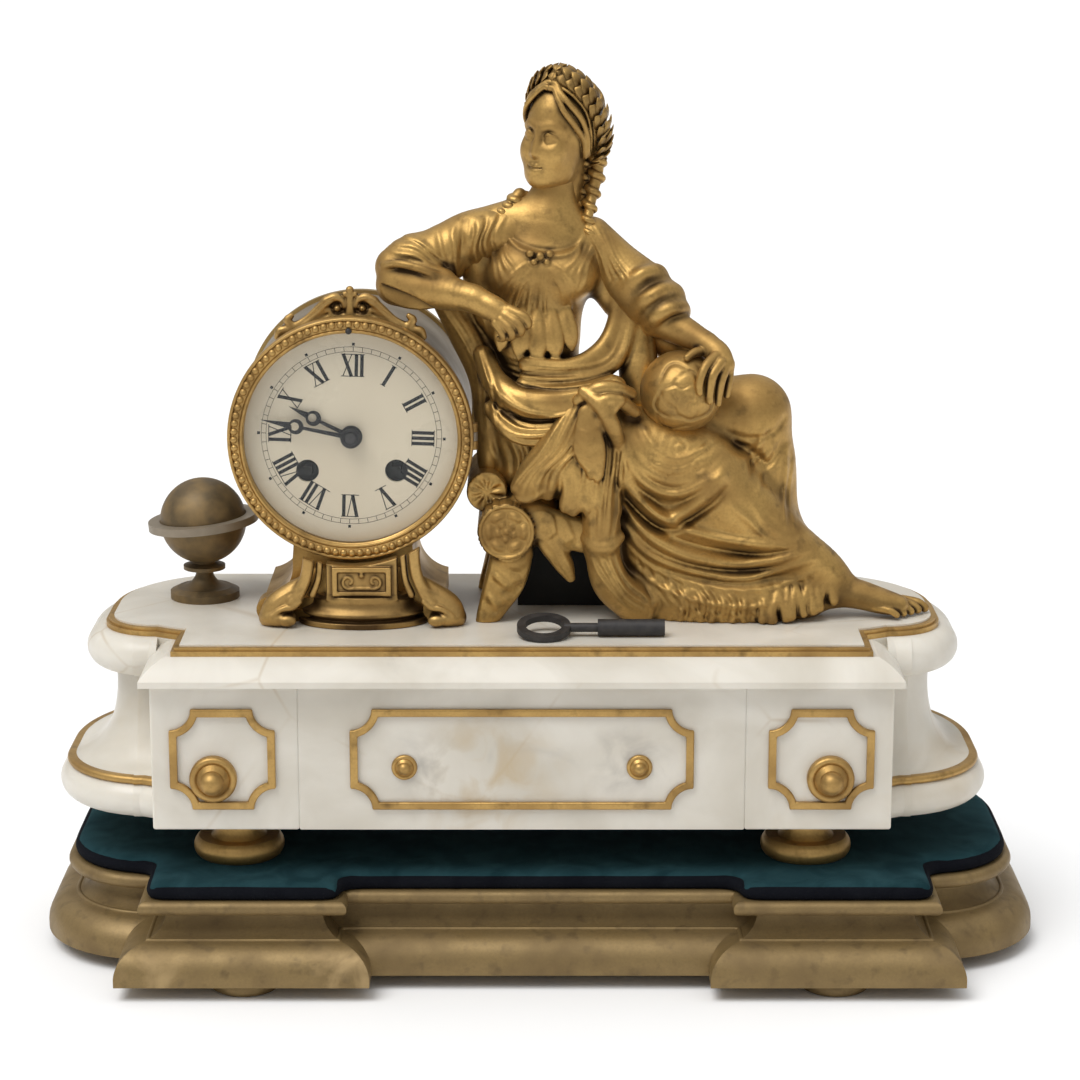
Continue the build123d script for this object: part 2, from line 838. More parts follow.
with BuildPart() as bezel_glass:
    rim = bezel_sight - 0.4
    dome_mid = cap_mid(rim, glass_dome)
    add(
        turned(
            (
                (0, glass_front - glass_dome),
                (rim, glass_front),
                (glass_radius, glass_front),
                (glass_radius, glass_back),
                (rim, glass_back),
                (0, glass_back - glass_dome),
            ),
            (
                (0, (dome_mid[0], glass_front - glass_dome + dome_mid[1])),
                (4, (dome_mid[0], glass_back - glass_dome + dome_mid[1])),
            ),
        )
    )
bezel_glass.part.label = "bezel_glass"
export_step(bezel_glass.part, "parts/bezel_glass.step")

with BuildPart() as sight_ring:
    add(
        turned(
            (
                (bezel_sight, glass_back),
                (glass_radius + glass_fit, glass_back),
                (glass_radius + glass_fit, bezel_back),
                (bezel_sight + 0.6, bezel_back),
            )
        )
    )
sight_ring.part.label = "sight_ring"
export_step(sight_ring.part, "parts/sight_ring.step")

with BuildPart() as rear_ring:
    add(round_bar((0, 0), bezel_radius - 0.5, drum_back, case_back_ring))
    add(round_bar((0, 0), drum_inside - 0.05, drum_back - 4, drum_back))
    add(round_bar((0, 0), drum_inside - 3.2, drum_back - 5, case_back_ring + 1), mode=Mode.SUBTRACT)
    rear_knuckle = upright_bar(
        rear_hinge_x, rear_hinge_y, knuckle_radius, drum_z - knuckle_length / 2, drum_z + knuckle_length / 2
    )
    add(rear_knuckle)
    rear_bore = upright_bar(
        rear_hinge_x, rear_hinge_y, hinge_pin + pin_clear, drum_z - knuckle_length, drum_z + knuckle_length
    )
    add(rear_bore, mode=Mode.SUBTRACT)
    half_room = knuckle_length / 2 + knuckle_gap
    for low in (drum_z + half_room, drum_z - half_room - knuckle_length - 0.2):
        high = low + knuckle_length + 0.2
        add(
            upright_bar(rear_hinge_x, rear_hinge_y, knuckle_radius + hinge_clear, low, high),
            mode=Mode.SUBTRACT,
        )
rear_ring.part.label = "rear_ring"
export_step(rear_ring.part, "parts/rear_ring.step")

with BuildPart() as rear_cover:
    cover_front = case_back_ring + bezel_gap
    add(round_bar((0, 0), bezel_radius - 1.0, cover_front, cover_front + 1.6))
    add(round_bar((bezel_radius - 8, 0), 2.4, cover_front + 1.6, cover_front + 6))
    with BuildSketch(work(cover_front + 2)):
        with PolarLocations(24, 8):
            SlotOverall(11, 3)
    extrude(amount=3, mode=Mode.SUBTRACT)
    add(knuckle_room(rear_hinge_x, rear_hinge_y), mode=Mode.SUBTRACT)
    add(door_knuckles(rear_hinge_x, rear_hinge_y))
rear_cover.part.label = "rear_cover"
export_step(rear_cover.part, "parts/rear_cover.step")


with BuildPart() as drum_plinth:
    with BuildSketch(facing(drum_back - 10, drum_x, base_top)):
        with BuildLine():
            Polyline((36, 7), (36, 0), (-36, 0), (-36, 7))
            ThreePointArc((-36, 7), (-27.5, 12), (-24, 24))
            Polyline((-24, 24), (-23.5, 30), (-27, 38), (-31, drum_rise - 20))
            Polyline((-31, drum_rise - 20), (31, drum_rise - 20), (27, 38), (23.5, 30), (24, 24))
            ThreePointArc((24, 24), (27.5, 12), (36, 7))
        make_face()
    extrude(amount=drum_back - 10 + drum_front + 0.5)
    for rise, height, half in ((0, 5, 25), (5, 5, 23), (10, 12, 20.5)):
        with BuildSketch(level(base_top + rise, drum_x, -drum_front)):
            Ellipse(half, 0.4 * half)
        extrude(amount=height)
    for side in (1, -1):
        with BuildSketch(facing(-drum_front + 3, drum_x, base_top)):
            with Locations((side * 33, 5.2)):
                Circle(5.2)
        extrude(amount=9)
    add(round_bar((0, 0), drum_radius, -drum_front - 30, drum_back), mode=Mode.SUBTRACT)
    bezel_space = round_bar((0, 0), bezel_radius + drum_clear, bezel_front - 30, bezel_back + drum_clear)
    add(bezel_space, mode=Mode.SUBTRACT)
    add(pendulum_slot, mode=Mode.SUBTRACT)
    add(rod_threads.part, mode=Mode.SUBTRACT)
drum_plinth.part.label = "drum_plinth"
export_step(drum_plinth.part, "parts/drum_plinth.step")

with BuildPart() as drum_crest:
    with BuildSketch(work(-drum_front + 7)):
        Circle(drum_radius + 4.5)
        with Locations((-5, drum_radius + 5), (7, drum_radius + 4)):
            Circle(8.5)
        with Locations((-19, drum_radius - 1), (21, drum_radius - 4)):
            Circle(6)
        with BuildLine():
            crest_side = 1.05 * drum_radius
            crest_high = 1.5 * drum_radius
            Polyline((0, 0), (-crest_side, crest_high), (crest_side, crest_high), close=True)
        make_face(mode=Mode.INTERSECT)
        Circle(drum_radius, mode=Mode.SUBTRACT)
    extrude(amount=6.5)
drum_crest.part.label = "drum_crest"
export_step(drum_crest.part, "parts/drum_crest.step")


going_spot = (winder_x, -winder_drop)
strike_spot = (-winder_x, -winder_drop)

with BuildPart() as dial:
    with BuildSketch(work(dial_back)):
        Circle(drum_inside - dial_fit)
        Circle(hour_pipe + 0.4, mode=Mode.SUBTRACT)
        with Locations(going_spot, strike_spot):
            Circle(winder_hole, mode=Mode.SUBTRACT)
    extrude(amount=dial_thick)
    with BuildSketch(work(plate_inside)):
        with PolarLocations(plate_radius - 4, 3, start_angle=-90):
            Circle(arbor_radius)
    extrude(amount=plate_inside - dial_back)
dial.part.label = "dial"
export_step(dial.part, "parts/dial.step")


def hand(y, length, moon, angle, collar, bore):
    """Hand with an open ring, lying with its back at depth y."""
    with BuildPart() as made:
        turn = radians(angle)
        drum_spot = (clock_x + drum_x, y, drum_z)
        with BuildSketch(Plane(origin=drum_spot, x_dir=(cos(turn), 0, -sin(turn)), z_dir=(0, -1, 0))):
            Circle(collar)
            with BuildLine():
                Polyline((-0.9, 0), (-0.6, moon), (0.6, moon), (0.9, 0), close=True)
            make_face()
            with Locations((0, moon + 2.4)):
                Circle(3.0)
            with BuildLine():
                Polyline((-1.3, moon + 4.6), (0, length), (1.3, moon + 4.6), close=True)
            make_face()
            with Locations((0, moon + 2.9)):
                Circle(1.7, mode=Mode.SUBTRACT)
            Circle(bore, mode=Mode.SUBTRACT)
        extrude(amount=hand_thick)
    return made.part


def meet(first, first_reach, second, second_reach):
    """Point at two given distances from two points, on the right going from first to second."""
    span = sqrt((second[0] - first[0]) ** 2 + (second[1] - first[1]) ** 2)
    along = (first_reach**2 - second_reach**2 + span**2) / (2 * span)
    aside = sqrt(first_reach**2 - along**2)
    ux = (second[0] - first[0]) / span
    uy = (second[1] - first[1]) / span
    return (first[0] + along * ux + aside * uy, first[1] + along * uy - aside * ux)


def heading(start, end):
    """Angle in degrees of the line between two points."""
    return degrees(atan2(end[1] - start[1], end[0] - start[0]))


def meshed(angle, teeth, phase, mate_teeth):
    """Phase of a mating wheel whose gap faces a tooth of the first across the given heading."""
    return angle + 180 + (angle - phase) * teeth / mate_teeth + 180 / mate_teeth


def gear(centre, y_from, y_to, teeth, module, phase, bore):
    """Toothed wheel between two depths."""
    pitch = teeth * module / 2
    step = 360 / teeth
    with BuildPart() as made:
        with BuildSketch(work(y_to, centre)):
            with BuildLine():
                points = []
                for i in range(teeth):
                    for share, radius in ((-0.27, -1.05), (-0.11, 0.75), (0.11, 0.75), (0.27, -1.05)):
                        turn = radians(phase + (i + share) * step)
                        out = pitch + radius * module
                        points.append((out * cos(turn), out * sin(turn)))
                Polyline(points, close=True)
            make_face()
            Circle(bore, mode=Mode.SUBTRACT)
        extrude(amount=y_to - y_from)
    return made.part


# Motion work behind the dial
motion_reach = (cannon_teeth + minute_teeth) * minute_module / 2
motion_spot = (0.0, motion_reach)
cannon_back = plate_front - 0.5
cannon_front = cannon_back - 1.8
minute_back = cannon_back - 0.2
hour_wheel_front = dial_back + 0.4
hour_wheel_back = hour_wheel_front + wheel_thick
hour_hand_back = dial_front - hand_gap
hour_hand_front = hour_hand_back - hand_thick
minute_hand_back = hour_hand_front - hand_gap
minute_hand_front = minute_hand_back - hand_thick
minute_phase = meshed(90, cannon_teeth, 90, minute_teeth)
hour_phase = meshed(-90, minute_pinion, minute_phase, hour_teeth)

with BuildPart() as minute_hand:
    add(hand(minute_hand_back, minute_length, minute_moon, minute_angle, 3.2, cannon_radius))
minute_hand.part.label = "minute_hand"
export_step(minute_hand.part, "parts/minute_hand.step")

with BuildPart() as cannon_pinion:
    add(gear((0, 0), cannon_front, cannon_back, cannon_teeth, minute_module, 90, centre_arbor + pivot_clear))
    add(round_bar((0, 0), cannon_radius, minute_hand_front - 1.2, cannon_front))
    add(round_bar((0, 0), 3.0, minute_hand_front - 1.2, minute_hand_front))
    add(round_bar((0, 0), centre_arbor + pivot_clear, minute_hand_front, cannon_back), mode=Mode.SUBTRACT)
cannon_pinion.part.label = "cannon_pinion"
export_step(cannon_pinion.part, "parts/cannon_pinion.step")

with BuildPart() as hour_hand:
    add(hand(hour_hand_back, hour_length, hour_moon, hour_angle, 4.4, hour_pipe))
hour_hand.part.label = "hour_hand"
export_step(hour_hand.part, "parts/hour_hand.step")

with BuildPart() as hour_wheel:
    hour_bore = cannon_radius + pivot_clear
    add(gear((0, 0), hour_wheel_front, hour_wheel_back, hour_teeth, hour_module, hour_phase, hour_bore))
    add(round_bar((0, 0), hour_pipe, hour_hand_front, hour_wheel_front))
    add(round_bar((0, 0), hour_bore, hour_hand_front, hour_wheel_back), mode=Mode.SUBTRACT)
hour_wheel.part.label = "hour_wheel"
export_step(hour_wheel.part, "parts/hour_wheel.step")

with BuildPart() as minute_wheel:
    idler_bore = arbor_radius + pivot_clear
    idler_front = minute_back - wheel_thick
    add(gear(motion_spot, idler_front, minute_back, minute_teeth, minute_module, minute_phase, idler_bore))
    add(
        gear(
            motion_spot,
            hour_wheel_front,
            idler_front,
            minute_pinion,
            hour_module,
            minute_phase,
            idler_bore,
        )
    )
minute_wheel.part.label = "minute_wheel"
export_step(minute_wheel.part, "parts/minute_wheel.step")


# Wheel train: places on the plates and depths between them
great_reach = (great_teeth + great_pinion) * great_module / 2
second_reach = (second_teeth + centre_pinion) * second_module / 2
second_spot = meet(going_spot, great_reach, (0, 0), second_reach)
strike_wheel_spot = (
    strike_spot[0] + great_reach * cos(radians(strike_angle)),
    strike_spot[1] + great_reach * sin(radians(strike_angle)),
)
fly_spot = (fly_x, fly_rise)
hammer_spot = (hammer_x, -hammer_drop)
bell_spot = (bell_x, -bell_drop)
pillar_spots = ((27.0, 21.5), (-27.0, 21.5), (5.0, -33.5), (-5.0, -33.5))

great_front = plate_inside + 6.0
great_back = great_front + 2.0
barrel_back = great_back + 10.5
centre_front = plate_inside + 2.0
second_front = barrel_back + 1.4
third_front = plate_inside + 10.0
escape_front = plate_inside + 14.0
strike_front = barrel_back + 0.8

second_phase = meshed(heading(going_spot, second_spot), great_teeth, 0, great_pinion)
centre_phase = meshed(heading(second_spot, (0, 0)), second_teeth, second_phase, centre_pinion)
third_phase = meshed(heading((0, 0), third_spot), centre_teeth, centre_phase, third_pinion)
escape_phase = meshed(heading(third_spot, escape_spot), third_teeth, third_phase, escape_pinion)
strike_phase = meshed(heading(strike_spot, strike_wheel_spot), great_teeth, 0, great_pinion)

train_spots = (second_spot, third_spot, escape_spot, strike_wheel_spot, fly_spot)

with BuildPart() as front_plate:
    with BuildSketch(work(plate_inside)):
        Circle(plate_radius)
        with Locations(*train_spots, anchor_spot):
            Circle(arbor_radius + pivot_clear, mode=Mode.SUBTRACT)
        with Locations(going_spot, strike_spot):
            Circle(winder_radius + pivot_clear, mode=Mode.SUBTRACT)
        Circle(centre_arbor + pivot_clear, mode=Mode.SUBTRACT)
        with PolarLocations(plate_radius - 4, 3, start_angle=-90):
            Circle(arbor_radius + pivot_clear, mode=Mode.SUBTRACT)
    extrude(amount=plate_thick)
    add(round_bar(motion_spot, arbor_radius, hour_wheel_front, plate_front))
front_plate.part.label = "front_plate"
export_step(front_plate.part, "parts/front_plate.step")

with BuildPart() as back_plate:
    with BuildSketch(work(back_plate_back)):
        Circle(plate_radius)
        with Locations(*train_spots, anchor_spot):
            Circle(arbor_radius + pivot_clear, mode=Mode.SUBTRACT)
        with Locations(going_spot, strike_spot):
            Circle(winder_radius + pivot_clear, mode=Mode.SUBTRACT)
        Circle(centre_arbor + pivot_clear, mode=Mode.SUBTRACT)
    extrude(amount=plate_thick)
    for centre in pillar_spots:
        add(round_bar(centre, pillar_radius, plate_inside, back_plate_front))
    add(round_bar(hammer_spot, arbor_radius, back_plate_back, back_plate_back + 19))
back_plate.part.label = "back_plate"
export_step(back_plate.part, "parts/back_plate.step")

with BuildPart() as case_straps:
    strap_out = drum_inside - 2.0
    strap_in = strap_out - 1.6
    for side in (1, -1):
        x_from = drum_x + min(side * strap_in, side * strap_out)
        x_to = drum_x + max(side * strap_in, side * strap_out)
        add(slab(x_from, x_to, plate_front, drum_back - 4, drum_z - 4, 8))
        tab_from = drum_x + min(side * (plate_radius - 2), side * strap_out)
        tab_to = drum_x + max(side * (plate_radius - 2), side * strap_out)
        add(slab(tab_from, tab_to, plate_front, plate_inside, drum_z - 4, 8))
    add(round_bar((0, 0), plate_radius, plate_front, plate_inside), mode=Mode.SUBTRACT)
case_straps.part.label = "case_straps"
export_step(case_straps.part, "parts/case_straps.step")


def barrel(centre):
    """Spring barrel with its great wheel."""
    wall = great_teeth * great_module / 2 - 2
    bore = winder_radius + pivot_clear
    with BuildPart() as made:
        add(gear(centre, great_front, great_back, great_teeth, great_module, 0, bore))
        add(round_bar(centre, wall, great_back, barrel_back))
        add(round_bar(centre, wall - 1, great_back, barrel_back - 1), mode=Mode.SUBTRACT)
        add(round_bar(centre, bore, great_front - 1, barrel_back + 1), mode=Mode.SUBTRACT)
    return made.part


with BuildPart() as going_barrel:
    add(barrel(going_spot))
going_barrel.part.label = "going_barrel"
export_step(going_barrel.part, "parts/going_barrel.step")

with BuildPart() as strike_barrel:
    add(barrel(strike_spot))
strike_barrel.part.label = "strike_barrel"
export_step(strike_barrel.part, "parts/strike_barrel.step")

ratchet_back = plate_front - 0.4
ratchet_front = ratchet_back - 1.4


def winding_arbor(centre, lean):
    """Arbor with a ratchet in front of the plate and a square for the key."""
    with BuildPart() as made:
        add(round_bar(centre, winder_radius, ratchet_back, back_plate_back))
        with BuildSketch(work(ratchet_back, centre)):
            with BuildLine():
                points = []
                for i in range(ratchet_teeth):
                    turn = radians(i * 360 / ratchet_teeth)
                    hook = radians((i + lean) * 360 / ratchet_teeth)
                    points.append((ratchet_radius * cos(turn), ratchet_radius * sin(turn)))
                    points.append(((ratchet_radius - 0.9) * cos(hook), (ratchet_radius - 0.9) * sin(hook)))
                Polyline(points, close=True)
            make_face()
        extrude(amount=ratchet_back - ratchet_front)
        with BuildSketch(work(ratchet_front)):
            with Locations(centre):
                Rectangle(winder_square, winder_square)
        extrude(amount=ratchet_front - dial_front)
    return made.part


with BuildPart() as going_arbor:
    add(winding_arbor(going_spot, 0.12))
going_arbor.part.label = "going_arbor"
export_step(going_arbor.part, "parts/going_arbor.step")

with BuildPart() as strike_arbor:
    add(winding_arbor(strike_spot, 0.88))
strike_arbor.part.label = "strike_arbor"
export_step(strike_arbor.part, "parts/strike_arbor.step")

with BuildPart() as ratchet_clicks:
    for side, centre in ((1, going_spot), (-1, strike_spot)):
        with BuildSketch(work(plate_front)):
            with Locations((centre[0] + side * 3, centre[1] + ratchet_radius + 5)):
                Circle(2.0)
            with BuildLine():
                tip = centre[1] + ratchet_radius + click_clear
                Polyline(
                    (centre[0] + side * 4.8, tip + 4.4),
                    (centre[0] + side * 1.2, tip + 4.4),
                    (centre[0] - side * 1.0, tip),
                    (centre[0] + side * 0.4, tip),
                    close=True,
                )
            make_face()
        extrude(amount=plate_front - ratchet_front)
ratchet_clicks.part.label = "ratchet_clicks"
export_step(ratchet_clicks.part, "parts/ratchet_clicks.step")


def arbor(centre):
    """Plain arbor with its pivots in both plates."""
    return round_bar(centre, arbor_radius, plate_front, back_plate_back)


def wheel(centre, front, teeth, module, phase):
    """Train wheel fast on its arbor."""
    return gear(centre, front, front + wheel_thick, teeth, module, phase, arbor_hole)


def pinion(centre, front, teeth, module, phase):
    """Pinion fast on its arbor, a little longer than the wheel it meets."""
    return gear(centre, front - 0.5, front + wheel_thick + 0.5, teeth, module, phase, arbor_hole)


def great_mate(centre, phase):
    """Pinion that a great wheel drives."""
    return gear(centre, great_front - 0.5, great_back + 0.5, great_pinion, great_module, phase, arbor_hole)


with BuildPart() as going_train:
    add(arbor(second_spot))
    add(great_mate(second_spot, second_phase))
    add(wheel(second_spot, second_front, second_teeth, second_module, second_phase))
    add(round_bar((0, 0), centre_arbor, minute_hand_front + 0.3, back_plate_back))
    add(pinion((0, 0), second_front, centre_pinion, second_module, centre_phase))
    add(wheel((0, 0), centre_front, centre_teeth, second_module, centre_phase))
    add(arbor(third_spot))
    add(pinion(third_spot, centre_front, third_pinion, second_module, third_phase))
    add(wheel(third_spot, third_front, third_teeth, third_module, third_phase))
going_train.part.label = "going_train"
export_step(going_train.part, "parts/going_train.step")

with BuildPart() as escape_wheel:
    add(arbor(escape_spot))
    add(pinion(escape_spot, third_front, escape_pinion, third_module, escape_phase))
    with BuildSketch(work(escape_front + wheel_thick, escape_spot)):
        with BuildLine():
            points = []
            for i in range(escape_teeth):
                root = escape_radius - 1.9
                for share, radius in ((-0.12, root), (0.0, escape_radius), (0.5, root)):
                    turn = radians((i + share) * 360 / escape_teeth)
                    points.append((radius * cos(turn), radius * sin(turn)))
            Polyline(points, close=True)
        make_face()
    extrude(amount=wheel_thick)
escape_wheel.part.label = "escape_wheel"
export_step(escape_wheel.part, "parts/escape_wheel.step")

with BuildPart() as pallet_anchor:
    crutch_back = back_plate_back + 1.8
    add(round_bar(anchor_spot, arbor_radius, plate_front, crutch_back))
    with BuildSketch(work(escape_front + wheel_thick, anchor_spot)):
        with BuildLine():
            reach = 0.86 * escape_radius
            drop = anchor_rise - sqrt((escape_radius + pallet_clear) ** 2 - (reach - 1.6) ** 2)
            Polyline(
                (-2, 2), (2, 2), (reach + 0.5, 1 - 0.55 * drop), (reach + 0.5, -drop), (reach - 1.1, -drop),
                (reach - 1.1, -0.62 * drop), (0, -1.8), (1.1 - reach, -0.62 * drop), (1.1 - reach, -drop),
                (-reach - 0.5, -drop), (-reach - 0.5, 1 - 0.55 * drop), close=True,
            )
        make_face()
    extrude(amount=wheel_thick)
    with BuildSketch(work(crutch_back)):
        with Locations((anchor_spot[0], anchor_spot[1] - 10)):
            Rectangle(2.2, 21)
        with Locations(anchor_spot):
            Circle(2)
    extrude(amount=1.3)
    with BuildSketch(work(pendulum_y + 1.4)):
        for side in (1, -1):
            with Locations((side * (pendulum_rod_radius + 0.75), anchor_spot[1] - 19.5)):
                Rectangle(1.2, 2)
    extrude(amount=pendulum_y + 1.4 - crutch_back + 1.3)
    with BuildSketch(work(crutch_back)):
        with Locations((0, anchor_spot[1] - 19.5)):
            Rectangle(2 * pendulum_rod_radius + 2.7, 2)
    extrude(amount=1.3)
pallet_anchor.part.label = "pallet_anchor"
export_step(pallet_anchor.part, "parts/pallet_anchor.step")

with BuildPart() as strike_wheel:
    add(arbor(strike_wheel_spot))
    add(great_mate(strike_wheel_spot, strike_phase))
    add(round_bar(strike_wheel_spot, strike_radius, strike_front, strike_front + wheel_thick))
    with BuildSketch(work(strike_front + wheel_thick + 1.2)):
        with Locations(strike_wheel_spot):
            with PolarLocations(strike_radius - 1.2, 8):
                Circle(0.5)
    extrude(amount=1.2)
strike_wheel.part.label = "strike_wheel"
export_step(strike_wheel.part, "parts/strike_wheel.step")

with BuildPart() as strike_fly:
    add(arbor(fly_spot))
    with BuildSketch(work(plate_inside + 20)):
        with Locations(fly_spot):
            Rectangle(2 * fly_half, 0.6)
            Circle(arbor_radius + 0.5)
    extrude(amount=7)
strike_fly.part.label = "strike_fly"
export_step(strike_fly.part, "parts/strike_fly.step")

bell_front = pendulum_y + bob_thick / 2 + 2.5
bell_back = bell_front + bell_depth


with BuildPart() as bell:
    bell_axis = (clock_x + drum_x + bell_spot[0], 0, drum_z + bell_spot[1])
    with BuildSketch(Plane(origin=bell_axis, x_dir=(1, 0, 0), z_dir=(0, 0, 1))):
        with BuildLine():
            Line((bell_radius, bell_front), (bell_radius - bell_wall, bell_front))
            ThreePointArc(
                (bell_radius - bell_wall, bell_front),
                (0.78 * bell_radius, bell_back - bell_wall - 0.28 * bell_depth),
                (bell_post, bell_back - bell_wall),
            )
            Line((bell_post, bell_back - bell_wall), (bell_post, bell_back))
            ThreePointArc(
                (bell_post, bell_back),
                (0.8 * bell_radius, bell_back - 0.27 * bell_depth),
                (bell_radius, bell_front),
            )
        make_face()
    revolve(axis=Axis(bell_axis, (0, 1, 0)))
    add(round_bar(bell_spot, bell_post, back_plate_back, bell_back + 1.5))
    add(round_bar(bell_spot, bell_post + 1.4, bell_back, bell_back + 1.5))
bell.part.label = "bell"
export_step(bell.part, "parts/bell.step")

head_aim = heading(bell_spot, (bell_spot[0] - 1, bell_spot[1]))
head_reach = bell_radius + hammer_gap + hammer_head
head_spot = (
    bell_spot[0] + head_reach * cos(radians(head_aim)),
    bell_spot[1] + head_reach * sin(radians(head_aim)),
)
hammer_y = bell_front + 1.5

with BuildPart() as bell_hammer:
    add(round_bar(hammer_spot, arbor_radius + 1.4, back_plate_back + 0.4, back_plate_back + 18))
    add(round_bar(head_spot, hammer_head, hammer_y - 2, hammer_y + 2.5))
    arm_length = sqrt((head_spot[0] - hammer_spot[0]) ** 2 + (head_spot[1] - hammer_spot[1]) ** 2)
    arm_middle = ((head_spot[0] + hammer_spot[0]) / 2, (head_spot[1] + hammer_spot[1]) / 2)
    with BuildSketch(work(hammer_y + 0.8)):
        with Locations(Location((*arm_middle, 0), (0, 0, heading(hammer_spot, head_spot)))):
            Rectangle(arm_length, 1.6)
    extrude(amount=1.6)
    add(
        round_bar(hammer_spot, arbor_radius + pivot_clear, back_plate_back, back_plate_back + 20),
        mode=Mode.SUBTRACT,
    )
bell_hammer.part.label = "bell_hammer"
export_step(bell_hammer.part, "parts/bell_hammer.step")

with BuildPart() as suspension_cock:
    cock_low = drum_z + anchor_spot[1] + 2.6
    add(slab(drum_x - 3.5, drum_x + 3.5, back_plate_back, pendulum_y + 3, cock_low, 1.9))
suspension_cock.part.label = "suspension_cock"
export_step(suspension_cock.part, "parts/suspension_cock.step")

with BuildPart() as pendulum_rod:
    add(upright_bar(drum_x, pendulum_y, pendulum_rod_radius, rod_low, pendulum_top - 6))
    add(slab(drum_x - 1.5, drum_x + 1.5, pendulum_y - 0.25, pendulum_y + 0.25, pendulum_top - 6.5, 8.7))
    nut_low = bob_z - bob_radius - 2.6
    add(upright_bar(drum_x, pendulum_y, pendulum_rod_radius + 1.6, nut_low, nut_low + 2))
pendulum_rod.part.label = "pendulum_rod"
export_step(pendulum_rod.part, "parts/pendulum_rod.step")

with BuildPart() as pendulum_bob:
    bob_centre = (clock_x + drum_x, pendulum_y, bob_z)
    with BuildSketch(Plane(origin=bob_centre, x_dir=(1, 0, 0), z_dir=(0, 0, 1))):
        with BuildLine():
            Line((0, -bob_thick / 2), (0, bob_thick / 2))
            ThreePointArc((0, bob_thick / 2), (0.6 * bob_radius, 0.36 * bob_thick), (bob_radius, 0.5))
            Line((bob_radius, 0.5), (bob_radius, -0.5))
            ThreePointArc((bob_radius, -0.5), (0.6 * bob_radius, -0.36 * bob_thick), (0, -bob_thick / 2))
        make_face()
    revolve(axis=Axis(bob_centre, (0, 1, 0)))
    add(pendulum_rod.part, mode=Mode.SUBTRACT)
pendulum_bob.part.label = "pendulum_bob"
export_step(pendulum_bob.part, "parts/pendulum_bob.step")


def limb(stations):
    """Rounded form through (x, y, rise, radius) stations."""
    with BuildPart() as made:
        for i, (x, y, rise, radius) in enumerate(stations):
            before = Vector(*spot(*stations[max(i - 1, 0)][:3]))
            after = Vector(*spot(*stations[min(i + 1, len(stations) - 1)][:3]))
            with BuildSketch(Plane(origin=spot(x, y, rise), x_dir=(0, 1, 0), z_dir=after - before)):
                Circle(radius)
        loft()
    return made.part


def stacked(stations):
    """Rounded form through level ellipses given as (rise, x, y, half width, half depth)."""
    with BuildPart() as made:
        for rise, x, y, half_width, half_depth in stations:
            with BuildSketch(level(base_top + rise, x, y)):
                Ellipse(half_width, half_depth)
        loft()
    return made.part


drum_room = round_bar((0, 0), drum_radius + figure_clear, bezel_front - 20, case_back_ring + 40)
hinge_room = slab(
    drum_x, front_hinge_x + knuckle_radius + 1.2, bezel_front - 20, front_hinge_y + 12, drum_z - 8, 16
)
bezel_room = round_bar((0, 0), bezel_radius + 1.0, bezel_front - 20, bezel_back + 2)
crest_room = round_bar((0, 0), 1.36 * drum_radius, bezel_front - 20, -drum_front + 7 + figure_clear)

with BuildPart() as lap_globe:
    with Locations(spot(62.3, -11, 91.5)):
        Sphere(lap_globe_radius)
lap_globe.part.label = "lap_globe"
export_step(lap_globe.part, "parts/lap_globe.step")

with BuildPart() as stool:
    for y in (-21.0, 34.0):
        with BuildSketch(facing(y + 12, -3.6, base_top + 36)):
            Circle(stool_roll)
        extrude(amount=14)
        with BuildSketch(facing(y + 11, 0, base_top)):
            with BuildLine():
                Polyline((-13, 30), (7, 28), (3, 14), (-4, 0), (-16, 0), (-9, 12), close=True)
            make_face()
            with BuildLine():
                Polyline((38, 34), (56, 32), (60, 14), (66, 0), (54, 0), (47, 13), close=True)
            make_face()
        extrude(amount=9)
    add(slab(-8, 56, -20, 44, base_top + 28, 20))
    add(slab(0, 16, -6, 30, base_top, 29))
    add(rod_threads.part, mode=Mode.SUBTRACT)
    add(drum_room, mode=Mode.SUBTRACT)
stool.part.label = "stool"
export_step(stool.part, "parts/stool.step")

with BuildPart() as figure_torso:
    add(
        stacked(
            (
                (46, 12, 12, 26, 24),
                (66, 9, 10, 25, 21),
                (86, 6, 7, 22, 17),
                (104, 5.5, 5, 20.5, 14.5),
                (122, 6.5, 3, 23, 16),
                (139, 8, 2, 25, 17.5),
                (152, 9, 5, 26, 14),
                (160, 10.5, 8, 19, 10.5),
            )
        )
    )
    add(limb(((11, 9, 154, 12), (11.5, 9.5, 164, 10), (12.5, 10, 174, 9.5), (13, 10, 184, 9.5))))
    add(limb(((-15, 9, 54, 8), (-4, 8, 58, 13), (12, 7, 62, 18))))
    add(limb(((-26, 6, 118, 6), (-20, 7, 106, 7), (-13, 8, 92, 8), (-6, 9, 76, 10))))
    add(stool.part, mode=Mode.SUBTRACT)
    add(drum_room, mode=Mode.SUBTRACT)
    add(hinge_room, mode=Mode.SUBTRACT)
    add(bezel_room, mode=Mode.SUBTRACT)
figure_torso.part.label = "figure_torso"
export_step(figure_torso.part, "parts/figure_torso.step")

with BuildPart() as figure_head:
    add(
        stacked(
            (
                (172.5, 5.5, 1, 4, 3),
                (176, 8, 3, 9.5, 8.5),
                (184, 11, 7, 12.5, 13),
                (193, 13.5, 9.5, 14.5, 16),
                (201, 15.5, 11, 15, 16),
                (207, 15, 12, 12, 13),
                (210, 14.5, 12, 6, 7),
            )
        )
    )
    add(limb(((26, 14, 194, 5), (29, 15, 182, 5.5), (30, 13, 168, 5), (27, 8, 152, 3.5))))
    add(figure_torso.part, mode=Mode.SUBTRACT)
figure_head.part.label = "figure_head"
export_step(figure_head.part, "parts/figure_head.step")

